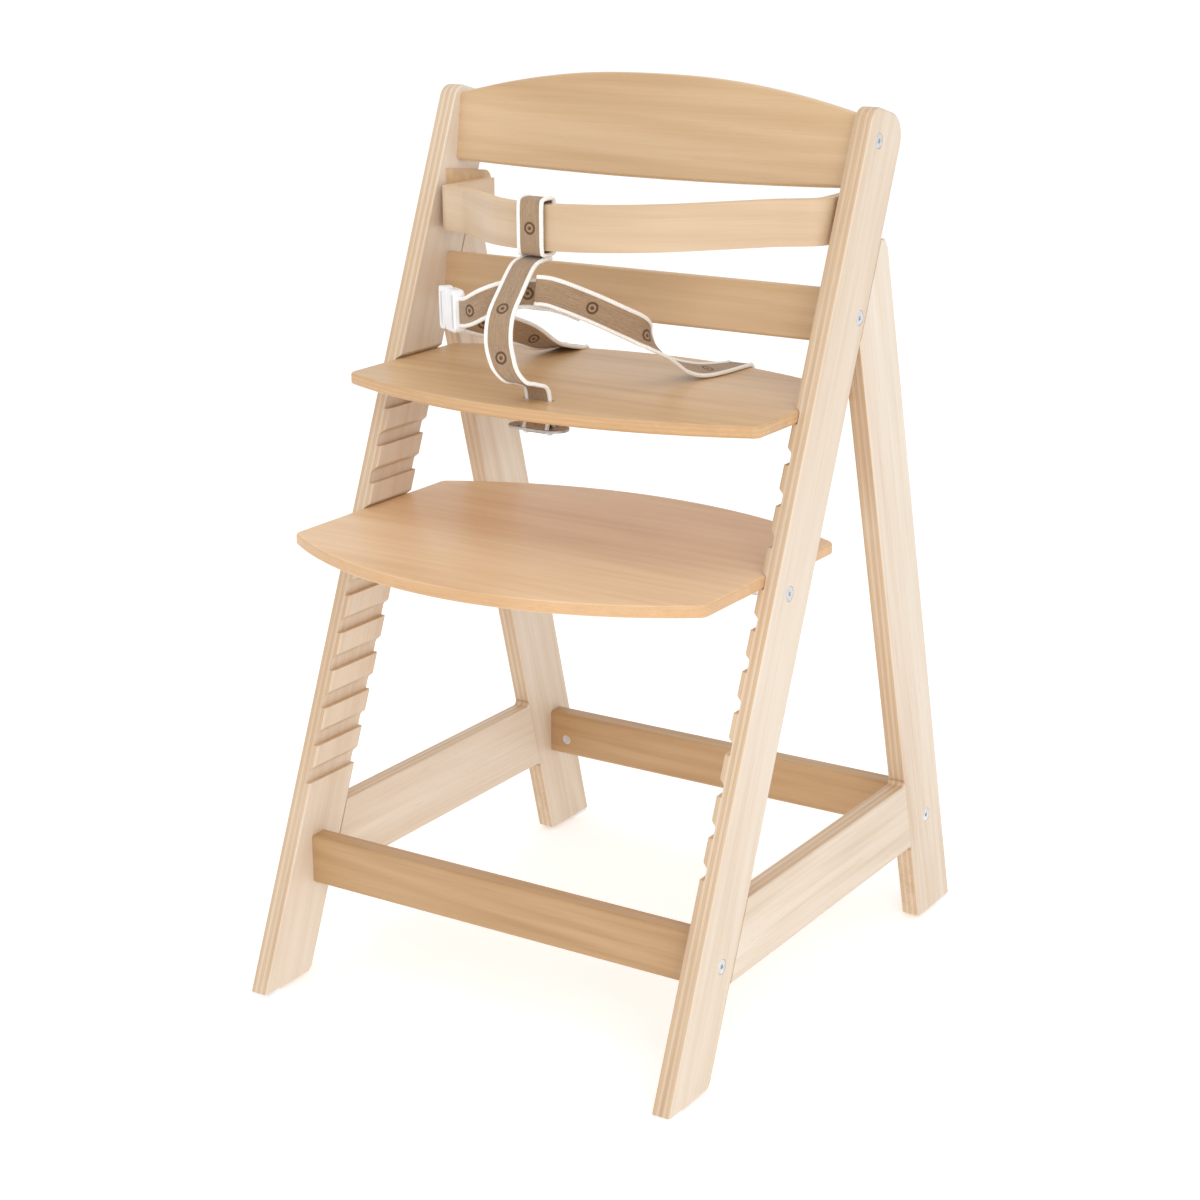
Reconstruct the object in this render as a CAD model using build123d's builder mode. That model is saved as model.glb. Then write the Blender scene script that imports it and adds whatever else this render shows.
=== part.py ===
from build123d import *
import math
import os

os.makedirs("parts", exist_ok=True)

# ---------------------------------------------------------------- driving sizes (mm)
WIDTH = 450.0
FRAME_T = 18.0
OUT_X = WIDTH / 2
IN_X = OUT_X - FRAME_T
FOOT_Z = 4.0
POST_TOP = 802.0
TOP_DROP = 16.0
TOP_FRONT_R = 15.0
TOP_REAR_R = 22.0
POST_LEAN = 0.415
POST_DEPTH = 67.0
POST_Y0 = -274.7
LEG_LEAN = -0.27
LEG_DEPTH = 69.7
LEG_Y0 = 274.1
LEG_TOP = 673.5
RAIL_LOW = 85.0
RAIL_HIGH = 154.0
ARRIS = 2.5

PITCH = 32.7
SEAT_Z = 546.4
STEPS_BETWEEN = 4
GROOVES = 12
FOOT_BOARD_Z = SEAT_Z - STEPS_BETWEEN * PITCH
BOARD_T = 11.0
GROOVE_DEPTH = 5.5
GROOVE_FLAT = 8.8
HOLLOW_R = 2.9
LIP_R = 3.0
GROOVE_TURN = math.radians(50.0)
BOARD_X = IN_X + GROOVE_DEPTH - 0.5

SLAT_T = 14.0
SLAT_TILT = 8.5
RAIL_T = 20.0
FRONT_RAIL_Y = -188.0
FRONT_RAIL_Z = (89.0, 136.0)
REAR_RAIL_Y = 212.0
REAR_RAIL_Z = (92.0, 137.0)

BOLT_R = 3.0
BOLT_HOLE_R = 3.3
HEAD_R = 6.5
HEAD_T = 3.0
NUT_R = 5.0

ROD_R = 6.0
ROD_Y = -79.0
ROD_Z = 408.0

GUARD_T = 12.0
GUARD_H = 39.5
GUARD_TOP = 718.5
GUARD_SLOPE = 0.038
PAD_T = 4.0
PAD_LOW = 668.0

WEB_W = 27.0
WEB_T = 1.6
SLOT_Y = -120.0
SLOT_W = 32.0
SLOT_D = 6.0
BELT_LEFT_X = -100.0
BELT_RIGHT_X = 76.0
BUCKLE_POS = (-125.0, -75.0, 618.0)
BUCKLE_DIR = (-0.8, 0.6, -0.05)


def post_front(z):
    return POST_Y0 + POST_LEAN * z


def post_rear(z):
    return post_front(z) + POST_DEPTH


def leg_rear(z):
    return LEG_Y0 + LEG_LEAN * z


def leg_front(z):
    return leg_rear(z) - LEG_DEPTH


def z_where(line, other, low, high):
    for _ in range(60):
        mid = (low + high) / 2
        if line(mid) < other(mid):
            low = mid
        else:
            high = mid
    return (low + high) / 2


LEAN_ANGLE = math.atan(POST_LEAN)
JOIN_Z = z_where(post_rear, leg_front, 200.0, 700.0)

# ---------------------------------------------------------------- shared positions
# across-bolts: (y, z, where the barrel nut sits along X)
SLAT_BOLTS = {"upper": (66.9, 771.0, 170.0), "lower": (39.0, 624.0, 170.0)}
FRONT_BOLT = (FRONT_RAIL_Y, 108.0, 188.0)
REAR_BOLT = (REAR_RAIL_Y, 108.0, 188.0)
ROD_BOLT = (ROD_Y, ROD_Z, 0.0)

# dowels between post and rear frame, given as heights on the post's rear edge
DOWEL_Z = (106.0, 133.0, 628.0, 658.0)
DOWEL_R = 4.0
DOWEL_HOLE_R = 4.2
DOWEL_IN = 18.0


def side_plane(side):
    # sketches here read (y, z) and extrude outwards from X = 0
    if side > 0:
        return Plane(origin=(0, 0, 0), x_dir=(0, 1, 0), z_dir=(1, 0, 0))
    return Plane(origin=(0, 0, 0), x_dir=(0, -1, 0), z_dir=(-1, 0, 0))


def yz(side, y, z):
    if side > 0:
        return (y, z)
    return (-y, z)


def across(side, y, z, start, end, radius, mode=Mode.SUBTRACT):
    # cylinder along X between two distances from the middle plane
    at = Location((side * (start + end) / 2, y, z), (0, 90, 0))
    with Locations(at):
        Cylinder(radius=radius, height=abs(end - start), mode=mode)


def dowel_at(side, z, radius, length, mode):
    y = post_rear(z)
    at = Location((side * (IN_X + FRAME_T / 2), y, z), (-90 - math.degrees(LEAN_ANGLE), 0, 0))
    with Locations(at):
        Cylinder(radius=radius, height=length, mode=mode)


def glide_pin_hole(side, y):
    with Locations((side * (IN_X + FRAME_T / 2), y, FOOT_Z + 6.0)):
        Cylinder(radius=1.7, height=14.0, mode=Mode.SUBTRACT)


FRONT_GLIDE_Y = post_front(FOOT_Z) + 12.0
REAR_GLIDE_Y = leg_rear(FOOT_Z) - 12.0


# ---------------------------------------------------------------- front posts
def round_point(center, radius, turn):
    return (center[0] + radius * math.cos(turn), center[1] + radius * math.sin(turn))


def groove_outline():
    # ledge below, hollow back, then a slope with a rounded lip into the tooth above; x is the depth in the wood
    hollow = (GROOVE_DEPTH - HOLLOW_R, GROOVE_FLAT)
    slope_low = round_point(hollow, HOLLOW_R, GROOVE_TURN)
    slope = (slope_low[0] - LIP_R * (1 - math.cos(GROOVE_TURN))) / math.sin(GROOVE_TURN)
    mouth = slope_low[1] + slope * math.cos(GROOVE_TURN) + LIP_R * math.sin(GROOVE_TURN)
    lip = (LIP_R, mouth)
    slope_high = round_point(lip, LIP_R, math.pi + GROOVE_TURN)
    Polyline((-1.0, 0.0), (GROOVE_DEPTH, 0.0), (GROOVE_DEPTH, GROOVE_FLAT))
    ThreePointArc((GROOVE_DEPTH, GROOVE_FLAT), round_point(hollow, HOLLOW_R, GROOVE_TURN / 2), slope_low)
    Line(slope_low, slope_high)
    ThreePointArc(slope_high, round_point(lip, LIP_R, math.pi + GROOVE_TURN / 2), (0.0, mouth))
    Polyline((0.0, mouth), (-1.0, mouth), (-1.0, 0.0))


def make_post(side):
    top_rear = (post_rear(POST_TOP - TOP_DROP), POST_TOP - TOP_DROP)
    corners = [
        (post_front(FOOT_Z), FOOT_Z),
        (post_rear(FOOT_Z) - 5.0, FOOT_Z),
        (post_rear(FOOT_Z + 6.0), FOOT_Z + 6.0),
        top_rear,
        (post_front(POST_TOP), POST_TOP),
    ]
    with BuildPart() as post:
        with BuildSketch(side_plane(side).offset(IN_X)):
            with BuildLine():
                Polyline(*[yz(side, *c) for c in corners], close=True)
            make_face()
            fillet(vertices().sort_by(Axis.Y)[-2:-1], radius=TOP_REAR_R)
            fillet(vertices().sort_by(Axis.Y)[-1:], radius=TOP_FRONT_R)
        extrude(amount=FRAME_T)
        long_edges = edges().filter_by(lambda e: e.bounding_box().size.X < 0.01 and e.center().Z > 12)
        fillet(long_edges, radius=ARRIS)
        # board grooves along the inner face
        for n in range(GROOVES):
            z = SEAT_Z - n * PITCH
            x = side * IN_X
            with BuildSketch(Plane(origin=(x, 0, z), x_dir=(side, 0, 0), z_dir=(0, -side, 0))):
                with BuildLine():
                    groove_outline()
                make_face()
            extrude(amount=400.0, both=True, mode=Mode.SUBTRACT)
        # bolt holes with sunk seats for the heads
        for y, z, nut in (SLAT_BOLTS["upper"], SLAT_BOLTS["lower"], FRONT_BOLT, ROD_BOLT):
            across(side, y, z, IN_X - 1.0, OUT_X + 1.0, BOLT_HOLE_R)
            across(side, y, z, OUT_X - HEAD_T - 0.2, OUT_X + 1.0, HEAD_R + 0.3)
        for z in DOWEL_Z:
            dowel_at(side, z, DOWEL_HOLE_R, 2 * DOWEL_IN, Mode.SUBTRACT)
        for y in GUARD_SCREW_Y:
            across(side, y, guard_mid(side), IN_X - 1.0, IN_X + 13.0, 1.8)
        glide_pin_hole(side, FRONT_GLIDE_Y)
    return post.part


def guard_mid(side):
    return GUARD_TOP - GUARD_H / 2 + GUARD_SLOPE * side * IN_X


GUARD_SCREW_Y = (46.0, 66.0)


# ---------------------------------------------------------------- rear legs with side rails
def make_rear_frame(side):
    gap = 0.05
    corners = [
        (leg_rear(FOOT_Z), FOOT_Z),
        (leg_rear(LEG_TOP + 5.0), LEG_TOP + 5.0),
        (leg_rear(LEG_TOP + 5.0) - 6.0, LEG_TOP + 12.5),
        (post_rear(LEG_TOP + 12.5) + gap, LEG_TOP + 12.5),
        (post_rear(JOIN_Z) + gap, JOIN_Z),
        (leg_front(RAIL_HIGH), RAIL_HIGH),
        (post_rear(RAIL_HIGH) + gap, RAIL_HIGH),
        (post_rear(RAIL_LOW) + gap, RAIL_LOW),
        (leg_front(RAIL_LOW), RAIL_LOW),
        (leg_front(FOOT_Z), FOOT_Z),
    ]
    with BuildPart() as rear:
        with BuildSketch(side_plane(side).offset(IN_X)):
            with BuildLine():
                Polyline(*[yz(side, *c) for c in corners], close=True)
            make_face()
            inner = vertices().filter_by(
                lambda v: abs(v.Y - RAIL_HIGH) < 1 and abs(abs(v.X) - leg_front(RAIL_HIGH)) < 1
            )
            inner += vertices().filter_by(
                lambda v: abs(v.Y - RAIL_LOW) < 1 and abs(abs(v.X) - leg_front(RAIL_LOW)) < 1
            )
            fillet(inner, radius=4.0)
        extrude(amount=FRAME_T)
        free = edges().filter_by(
            lambda e: e.bounding_box().size.X < 0.01
            and e.center().Z > 12
            and abs(e.center().Y - post_rear(e.center().Z)) > 2.0
        )
        fillet(free, radius=2.0)
        y, z, nut = REAR_BOLT
        across(side, y, z, IN_X - 1.0, OUT_X + 1.0, BOLT_HOLE_R)
        across(side, y, z, OUT_X - HEAD_T - 0.2, OUT_X + 1.0, HEAD_R + 0.3)
        for z in DOWEL_Z:
            dowel_at(side, z, DOWEL_HOLE_R, 2 * DOWEL_IN, Mode.SUBTRACT)
        glide_pin_hole(side, REAR_GLIDE_Y)
    return rear.part


for name, side in (("left", -1), ("right", 1)):
    post_part = make_post(side)
    post_part.label = name + "_post"
    export_step(post_part, "parts/" + name + "_post.step")
    rear_part = make_rear_frame(side)
    rear_part.label = name + "_rear_frame"
    export_step(rear_part, "parts/" + name + "_rear_frame.step")


# ---------------------------------------------------------------- backrest slats
def slat_plane(name):
    # origin on the bolt line in the middle of the slat's thickness, local y up the slope
    y, z, nut = SLAT_BOLTS[name]
    tilt = math.radians(SLAT_TILT)
    return Plane(origin=(0, y, z), x_dir=(1, 0, 0), z_dir=(0, -math.cos(tilt), math.sin(tilt)))


def slat_bores(name):
    y, z, nut = SLAT_BOLTS[name]
    for side in (-1, 1):
        across(side, y, z, nut - 9.0, IN_X + 1.0, BOLT_HOLE_R)
        with Locations(slat_plane(name).location * Location((side * nut, 0, -2.0))):
            Cylinder(radius=NUT_R + 0.15, height=SLAT_T - 3.0, mode=Mode.SUBTRACT)


SLAT_X = IN_X - 0.1
with BuildPart() as backrest_upper:
    with BuildSketch(slat_plane("upper").offset(-SLAT_T / 2)):
        with BuildLine():
            Line((-SLAT_X, 21.0), (-SLAT_X, -41.0))
            ThreePointArc((-SLAT_X, -41.0), (0.0, -45.5), (SLAT_X, -41.0))
            Line((SLAT_X, -41.0), (SLAT_X, 21.0))
            Spline((SLAT_X, 21.0), (130.0, 37.5), (60.0, 45.5), (0.0, 47.0), (-60.0, 45.5),
                   (-130.0, 37.5), (-SLAT_X, 21.0))
        make_face()
    extrude(amount=SLAT_T)
    rim = edges().filter_by(lambda e: abs(e.center().X) < 20 and e.length > 300)
    fillet(rim, radius=3.0)
    slat_bores("upper")
backrest_upper.part.label = "backrest_upper"
export_step(backrest_upper.part, "parts/backrest_upper.step")

with BuildPart() as backrest_lower:
    with BuildSketch(slat_plane("lower").offset(-SLAT_T / 2)):
        Rectangle(2 * SLAT_X, 46.5)
    extrude(amount=SLAT_T)
    rim = edges().filter_by(Axis.X)
    fillet(rim, radius=3.0)
    slat_bores("lower")
backrest_lower.part.label = "backrest_lower"
export_step(backrest_lower.part, "parts/backrest_lower.step")


# ---------------------------------------------------------------- bottom cross rails
def make_rail(y, heights, bolt, nut_face):
    with BuildPart() as rail:
        with Locations((0, y, sum(heights) / 2)):
            Box(2 * SLAT_X, RAIL_T, heights[1] - heights[0])
        fillet(edges().filter_by(Axis.X), radius=3.0)
        for side in (-1, 1):
            across(side, bolt[0], bolt[1], bolt[2] - 10.0, IN_X + 1.0, BOLT_HOLE_R)
            with Locations(Location((side * bolt[2], bolt[0] + nut_face * 2.0, bolt[1]), (90, 0, 0))):
                Cylinder(radius=NUT_R + 0.15, height=RAIL_T - 4.0, mode=Mode.SUBTRACT)
    return rail.part


front_rail = make_rail(FRONT_RAIL_Y, FRONT_RAIL_Z, FRONT_BOLT, 1)
front_rail.label = "front_rail"
export_step(front_rail, "parts/front_rail.step")
rear_rail = make_rail(REAR_RAIL_Y, REAR_RAIL_Z, REAR_BOLT, -1)
rear_rail.label = "rear_rail"
export_step(rear_rail, "parts/rear_rail.step")

# ---------------------------------------------------------------- tie rod under the footboard
with BuildPart() as tie_rod:
    with Locations(Location((0, ROD_Y, ROD_Z), (0, 90, 0))):
        Cylinder(radius=ROD_R, height=2 * SLAT_X)
    chamfer(edges().filter_by(GeomType.CIRCLE), length=0.8)
    for side in (-1, 1):
        across(side, ROD_Y, ROD_Z, IN_X - 32.0, IN_X + 1.0, BOLT_R + 0.1)
tie_rod.part.label = "tie_rod"
export_step(tie_rod.part, "parts/tie_rod.step")


# ---------------------------------------------------------------- fasteners
def add_bolt(side, y, z, tip):
    across(side, y, z, tip, OUT_X - 1.0, BOLT_R, Mode.ADD)
    across(side, y, z, OUT_X - HEAD_T, OUT_X - 0.2, HEAD_R, Mode.ADD)
    at = Location((side * (OUT_X - 0.9), y, z), (0, 90, 0))
    with BuildSketch(Plane(at).offset(-0.8), mode=Mode.PRIVATE) as key:
        RegularPolygon(radius=2.3, side_count=6)
    extrude(key.sketch, amount=2.6, mode=Mode.SUBTRACT)


with BuildPart() as backrest_bolts:
    for y, z, nut in SLAT_BOLTS.values():
        for side in (-1, 1):
            add_bolt(side, y, z, nut - 7.5)
backrest_bolts.part.label = "backrest_bolts"
export_step(backrest_bolts.part, "parts/backrest_bolts.step")

with BuildPart() as rail_bolts:
    for y, z, nut in (FRONT_BOLT, REAR_BOLT):
        for side in (-1, 1):
            add_bolt(side, y, z, nut - 7.5)
rail_bolts.part.label = "rail_bolts"
export_step(rail_bolts.part, "parts/rail_bolts.step")

with BuildPart() as tie_rod_bolts:
    for side in (-1, 1):
        add_bolt(side, ROD_Y, ROD_Z, IN_X - 28.0)
tie_rod_bolts.part.label = "tie_rod_bolts"
export_step(tie_rod_bolts.part, "parts/tie_rod_bolts.step")

with BuildPart() as backrest_nuts:
    for name in SLAT_BOLTS:
        y, z, nut = SLAT_BOLTS[name]
        for side in (-1, 1):
            with Locations(slat_plane(name).location * Location((side * nut, 0, -1.9))):
                Cylinder(radius=NUT_R, height=SLAT_T - 4.5)
            across(side, y, z, nut - 9.0, nut + 9.0, BOLT_R + 0.1)
backrest_nuts.part.label = "backrest_nuts"
export_step(backrest_nuts.part, "parts/backrest_nuts.step")

with BuildPart() as rail_nuts:
    for bolt, face in ((FRONT_BOLT, 1), (REAR_BOLT, -1)):
        for side in (-1, 1):
            with Locations(Location((side * bolt[2], bolt[0] + face * 2.0, bolt[1]), (90, 0, 0))):
                Cylinder(radius=NUT_R, height=RAIL_T - 5.0)
            across(side, bolt[0], bolt[1], bolt[2] - 9.0, bolt[2] + 9.0, BOLT_R + 0.1)
rail_nuts.part.label = "rail_nuts"
export_step(rail_nuts.part, "parts/rail_nuts.step")

with BuildPart() as dowels:
    for side in (-1, 1):
        for z in DOWEL_Z:
            dowel_at(side, z, DOWEL_R, 2 * DOWEL_IN - 2.0, Mode.ADD)
dowels.part.label = "dowels"
export_step(dowels.part, "parts/dowels.step")


# ---------------------------------------------------------------- glides
def make_glide(side, y):
    x = side * (IN_X + FRAME_T / 2)
    with BuildPart() as glide:
        with BuildSketch(Plane.XY):
            with Locations((x, y)):
                RectangleRounded(FRAME_T - 1.0, 23.0, 4.0)
        extrude(amount=FOOT_Z - 0.05)
        chamfer(faces().sort_by(Axis.Z)[0].edges(), length=0.8)
        with Locations((x, y, FOOT_Z + 4.5)):
            Cylinder(radius=1.5, height=11.0)
    return glide.part


for name, side, y in (
    ("front_left_glide", -1, FRONT_GLIDE_Y),
    ("front_right_glide", 1, FRONT_GLIDE_Y),
    ("rear_left_glide", -1, REAR_GLIDE_Y),
    ("rear_right_glide", 1, REAR_GLIDE_Y),
):
    glide_part = make_glide(side, y)
    glide_part.label = name
    export_step(glide_part, "parts/" + name + ".step")


# ---------------------------------------------------------------- boards
def make_board(z, front_side, front_mid, rear_side, rear_mid, slotted):
    with BuildPart() as board:
        with BuildSketch(Plane.XY.offset(z)):
            with BuildLine():
                Line((-BOARD_X, rear_side), (-BOARD_X, front_side))
                ThreePointArc((-BOARD_X, front_side), (0.0, front_mid), (BOARD_X, front_side))
                Line((BOARD_X, front_side), (BOARD_X, rear_side))
                ThreePointArc((BOARD_X, rear_side), (0.0, rear_mid), (-BOARD_X, rear_side))
            make_face()
            fillet(vertices(), radius=9.0)
        extrude(amount=BOARD_T)
        rim = edges().filter_by(
            lambda e: e.bounding_box().size.Z < 0.01
            and (abs(e.center().X) < BOARD_X - 0.5 or e.center().Z > z + BOARD_T / 2)
        )
        fillet(rim, radius=2.5)
        if slotted:
            with BuildSketch(Plane.XY.offset(z)):
                with Locations((0, SLOT_Y)):
                    SlotOverall(SLOT_W, SLOT_D)
            extrude(amount=BOARD_T, mode=Mode.SUBTRACT)
            for x in (BELT_LEFT_X, BELT_RIGHT_X):
                with Locations((x, STAPLE_Y, z + 2.5)):
                    Cylinder(radius=1.6, height=13.0 - 5.0, mode=Mode.SUBTRACT)
    return board.part


STAPLE_Y = 58.0
SEAT_REAR_MID = 104.0
SEAT_REAR_SIDE = 48.0
seat_board = make_board(SEAT_Z, -112.0, -159.0, SEAT_REAR_SIDE, SEAT_REAR_MID, True)
seat_board.label = "seat_board"
export_step(seat_board, "parts/seat_board.step")
foot_board = make_board(FOOT_BOARD_Z, -197.0, -266.0, 26.0, 83.0, False)
foot_board.label = "foot_board"
export_step(foot_board, "parts/foot_board.step")

# ---------------------------------------------------------------- guard bar
GUARD_X = IN_X - PAD_T - 0.1
GUARD_REAR_Y = 92.0
GUARD_MID_X = GUARD_X - GUARD_T / 2
# corners of the bar's middle line on one side, each with its bend radius
GUARD_BENDS = [((GUARD_MID_X, 20.0), 18.0), ((160.0, 5.0), 60.0), ((60.0, -76.0), 165.0)]
GUARD_LINE = [(GUARD_MID_X, GUARD_REAR_Y + 20.0)] + [p for p, r in GUARD_BENDS]
GUARD_LINE += [(-x, y) for x, y in reversed(GUARD_LINE)]
with BuildPart() as guard_bar:
    with BuildSketch(Plane.XY.offset(GUARD_TOP - 70.0)):
        with BuildLine() as guard_line:
            Polyline(*GUARD_LINE)
            for (bend_x, bend_y), radius in GUARD_BENDS:
                for x in (-bend_x, bend_x):
                    corner = guard_line.vertices().sort_by_distance((x, bend_y, 0))[0]
                    fillet(corner, radius=radius)
            offset(amount=GUARD_T / 2, side=Side.BOTH)
        make_face()
    extrude(amount=100.0)
    lean = math.degrees(math.atan(GUARD_SLOPE))
    for level, way in ((GUARD_TOP, 1), (GUARD_TOP - GUARD_H, -1)):
        with Locations(Location((0, 0, level), (0, -lean, 0)) * Location((0, 0, way * 60.0))):
            Box(700.0, 700.0, 120.0, mode=Mode.SUBTRACT)
    with Locations((0, GUARD_REAR_Y + 100.0, GUARD_TOP)):
        Box(700.0, 200.0, 300.0, mode=Mode.SUBTRACT)
    for side in (-1, 1):
        for y in GUARD_SCREW_Y:
            across(side, y, guard_mid(side), GUARD_X - GUARD_T - 1.0, GUARD_X + 1.0, 2.1)
            across(side, y, guard_mid(side), GUARD_X - GUARD_T - 1.0, GUARD_X - GUARD_T + 2.5, 4.3)
guard_bar.part.label = "guard_bar"
export_step(guard_bar.part, "parts/guard_bar.step")


def make_guard_pad(side):
    # thin wooden pad between the post and the guard's arm
    outline = [(37.0, PAD_LOW), (104.0, PAD_LOW), (104.0, 716.5), (37.0, 724.5)]
    with BuildPart() as pad:
        with BuildSketch(side_plane(side).offset(IN_X - PAD_T)):
            with BuildLine():
                Polyline(*[yz(side, *c) for c in outline], close=True)
            make_face()
            fillet(vertices().filter_by(lambda v: abs(v.X) > 80), radius=11.0)
        extrude(amount=PAD_T - 0.05)
        for y in GUARD_SCREW_Y:
            across(side, y, guard_mid(side), IN_X - PAD_T - 1.0, IN_X + 1.0, 2.1)
    return pad.part


for name, side in (("left", -1), ("right", 1)):
    pad_part = make_guard_pad(side)
    pad_part.label = name + "_guard_pad"
    export_step(pad_part, "parts/" + name + "_guard_pad.step")

with BuildPart() as guard_screws:
    for side in (-1, 1):
        for y in GUARD_SCREW_Y:
            across(side, y, guard_mid(side), GUARD_X - GUARD_T + 1.0, IN_X + 12.0, 1.6, Mode.ADD)
            across(side, y, guard_mid(side), GUARD_X - GUARD_T + 0.2, GUARD_X - GUARD_T + 2.3, 4.0, Mode.ADD)
guard_screws.part.label = "guard_screws"
export_step(guard_screws.part, "parts/guard_screws.step")


# ---------------------------------------------------------------- harness webbing
def direction(a, b):
    d = Vector(*b) - Vector(*a)
    return d.normalized()


def ribbon_piece(a, b, width, upright):
    # flat straight length of webbing from a to b; upright webbing has its width near vertical
    along = direction(a, b)
    if upright:
        across_dir = Vector(0, 0, 1)
    else:
        across_dir = Vector(1, 0, 0)
    normal = along.cross(across_dir).normalized()
    middle = (Vector(*a) + Vector(*b)) * 0.5
    length = (Vector(*b) - Vector(*a)).length
    with Locations(Plane(origin=middle, x_dir=along, z_dir=normal).location):
        Box(length, width, WEB_T)


# upper crotch strap: a closed loop round the guard and the length hanging from it
LOOP_X = -30.0
LOOP_Y = -73.0
LOOP_TOP = GUARD_TOP + 0.6
LOOP_LOW = GUARD_TOP - GUARD_H - 3.0
with BuildPart() as crotch_strap_upper:
    with Locations((LOOP_X, LOOP_Y, (LOOP_TOP + LOOP_LOW) / 2)):
        Box(WEB_W, GUARD_T + 9.0 + 2 * WEB_T, LOOP_TOP - LOOP_LOW + 2 * WEB_T)
        Box(WEB_W + 2.0, GUARD_T + 9.0, LOOP_TOP - LOOP_LOW, mode=Mode.SUBTRACT)
    ribbon_piece((LOOP_X, LOOP_Y, LOOP_LOW - 1.0), (LOOP_X, -137.0, 632.0), WEB_W, False)
    ribbon_piece((LOOP_X, -136.9, 634.0), (LOOP_X, -139.0, 600.0), WEB_W, False)
crotch_strap_upper.part.label = "crotch_strap_upper"
export_step(crotch_strap_upper.part, "parts/crotch_strap_upper.step")

# lower crotch strap: through the seat's slot and round the anchor plate's bar
PLATE_Z = 533.0
with BuildPart() as crotch_strap_lower:
    ribbon_piece((0.0, -137.0, 596.0), (0.0, -121.0, 561.0), WEB_W, False)
    ribbon_piece((0.0, SLOT_Y, 562.5), (0.0, SLOT_Y, 537.0), WEB_W, False)
    with Locations((0.0, SLOT_Y, PLATE_Z)):
        Box(WEB_W, 7.0 + 2 * WEB_T, 5.0 + 2 * WEB_T)
        Box(WEB_W + 2.0, 7.0, 5.0, mode=Mode.SUBTRACT)
crotch_strap_lower.part.label = "crotch_strap_lower"
export_step(crotch_strap_lower.part, "parts/crotch_strap_lower.step")

with BuildPart() as strap_anchor_plate:
    with BuildSketch(Plane.XY.offset(PLATE_Z - 1.0)):
        with Locations((0, SLOT_Y)):
            SlotOverall(58.0, 26.0)
            with Locations((0, 7.0), (0, -7.0)):
                SlotOverall(33.0, 7.5, mode=Mode.SUBTRACT)
    extrude(amount=2.0)
strap_anchor_plate.part.label = "strap_anchor_plate"
export_step(strap_anchor_plate.part, "parts/strap_anchor_plate.step")

# ---------------------------------------------------------------- buckle
BUCKLE_L = 30.0
BUCKLE_W = 38.0
BUCKLE_SLOT = 29.0
BUCKLE_H = 11.0
U = Vector(*BUCKLE_DIR).normalized()
V = Vector(0, 0, 1)
N = U.cross(V).normalized()
BUCKLE_PLANE = Plane(origin=BUCKLE_POS, x_dir=U, z_dir=N)


def in_buckle(x, y, z):
    return Vector(*BUCKLE_POS) + U * x + BUCKLE_PLANE.y_dir * y + N * z


with BuildPart() as buckle_socket:
    with BuildSketch(BUCKLE_PLANE.offset(-BUCKLE_H / 2)):
        with Locations((-BUCKLE_L / 2 - 1.0, 0)):
            RectangleRounded(BUCKLE_L, BUCKLE_W, 6.0)
    extrude(amount=BUCKLE_H)
    chamfer(edges().group_by(Axis((0, 0, 0), tuple(N)))[-1], length=1.5)
    chamfer(edges().group_by(Axis((0, 0, 0), tuple(N)))[0], length=1.5)
    # hollow that takes the plug's tongue and two prongs
    with Locations((BUCKLE_PLANE * Location((-8.0, 0, 0)))):
        Box(20.0, 26.0, 6.0, mode=Mode.SUBTRACT)
    # side windows for the prongs
    with Locations((BUCKLE_PLANE * Location((-11.0, 0, 0)))):
        Box(11.0, BUCKLE_W + 4.0, 6.0, mode=Mode.SUBTRACT)
    # slot for the webbing
    with Locations((BUCKLE_PLANE * Location((-BUCKLE_L + 4.5, 0, 0)))):
        Box(5.0, BUCKLE_SLOT, BUCKLE_H + 4.0, mode=Mode.SUBTRACT)
buckle_socket.part.label = "buckle_socket"
export_step(buckle_socket.part, "parts/buckle_socket.step")

with BuildPart() as buckle_plug:
    with Locations((BUCKLE_PLANE * Location((9.0, 0, 0)))):
        Box(16.0, BUCKLE_W, BUCKLE_H - 2.0)
    fillet(edges().filter_by(Axis((0, 0, 0), tuple(N))), radius=4.0)
    # slot for the webbing
    with Locations((BUCKLE_PLANE * Location((10.5, 0, 0)))):
        Box(5.0, BUCKLE_SLOT, BUCKLE_H + 4.0, mode=Mode.SUBTRACT)
    # tongue and prongs that enter the socket
    with Locations((BUCKLE_PLANE * Location((-6.5, 0, 0)))):
        Box(17.0, 5.0, 4.6)
    for way in (-1, 1):
        with Locations((BUCKLE_PLANE * Location((-5.0, way * 9.5, 0)))):
            Box(14.0, 3.0, 4.6)
        with Locations((BUCKLE_PLANE * Location((-10.5, way * 9.9, 0)))):
            Box(7.0, 5.4, 4.6)
buckle_plug.part.label = "buckle_plug"
export_step(buckle_plug.part, "parts/buckle_plug.step")


# ---------------------------------------------------------------- waist belt
def xyz(v):
    return (v.X, v.Y, v.Z)


with BuildPart() as waist_belt_left:
    ribbon_piece((-48.0, -132.0, 641.0), xyz(in_buckle(-34.5, 0, 0)), WEB_W, True)
waist_belt_left.part.label = "waist_belt_left"
export_step(waist_belt_left.part, "parts/waist_belt_left.step")

with BuildPart() as waist_belt_right:
    ribbon_piece((-13.0, -112.0, 646.0), (18.0, -55.0, 629.0), WEB_W, True)
    ribbon_piece((17.0, -57.0, 629.5), (40.0, 5.0, 602.0), WEB_W, True)
    ribbon_piece((39.5, 3.0, 602.5), (57.0, 35.0, 581.0), WEB_W, True)
waist_belt_right.part.label = "waist_belt_right"
export_step(waist_belt_right.part, "parts/waist_belt_right.step")

# tail behind the buckle, folded through the plug and running back to the seat
with BuildPart() as waist_tail:
    ribbon_piece((-133.0, -36.0, 603.0), (-113.0, 66.0, 577.0), WEB_W, True)
waist_tail.part.label = "waist_tail"
export_step(waist_tail.part, "parts/waist_tail.step")

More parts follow.
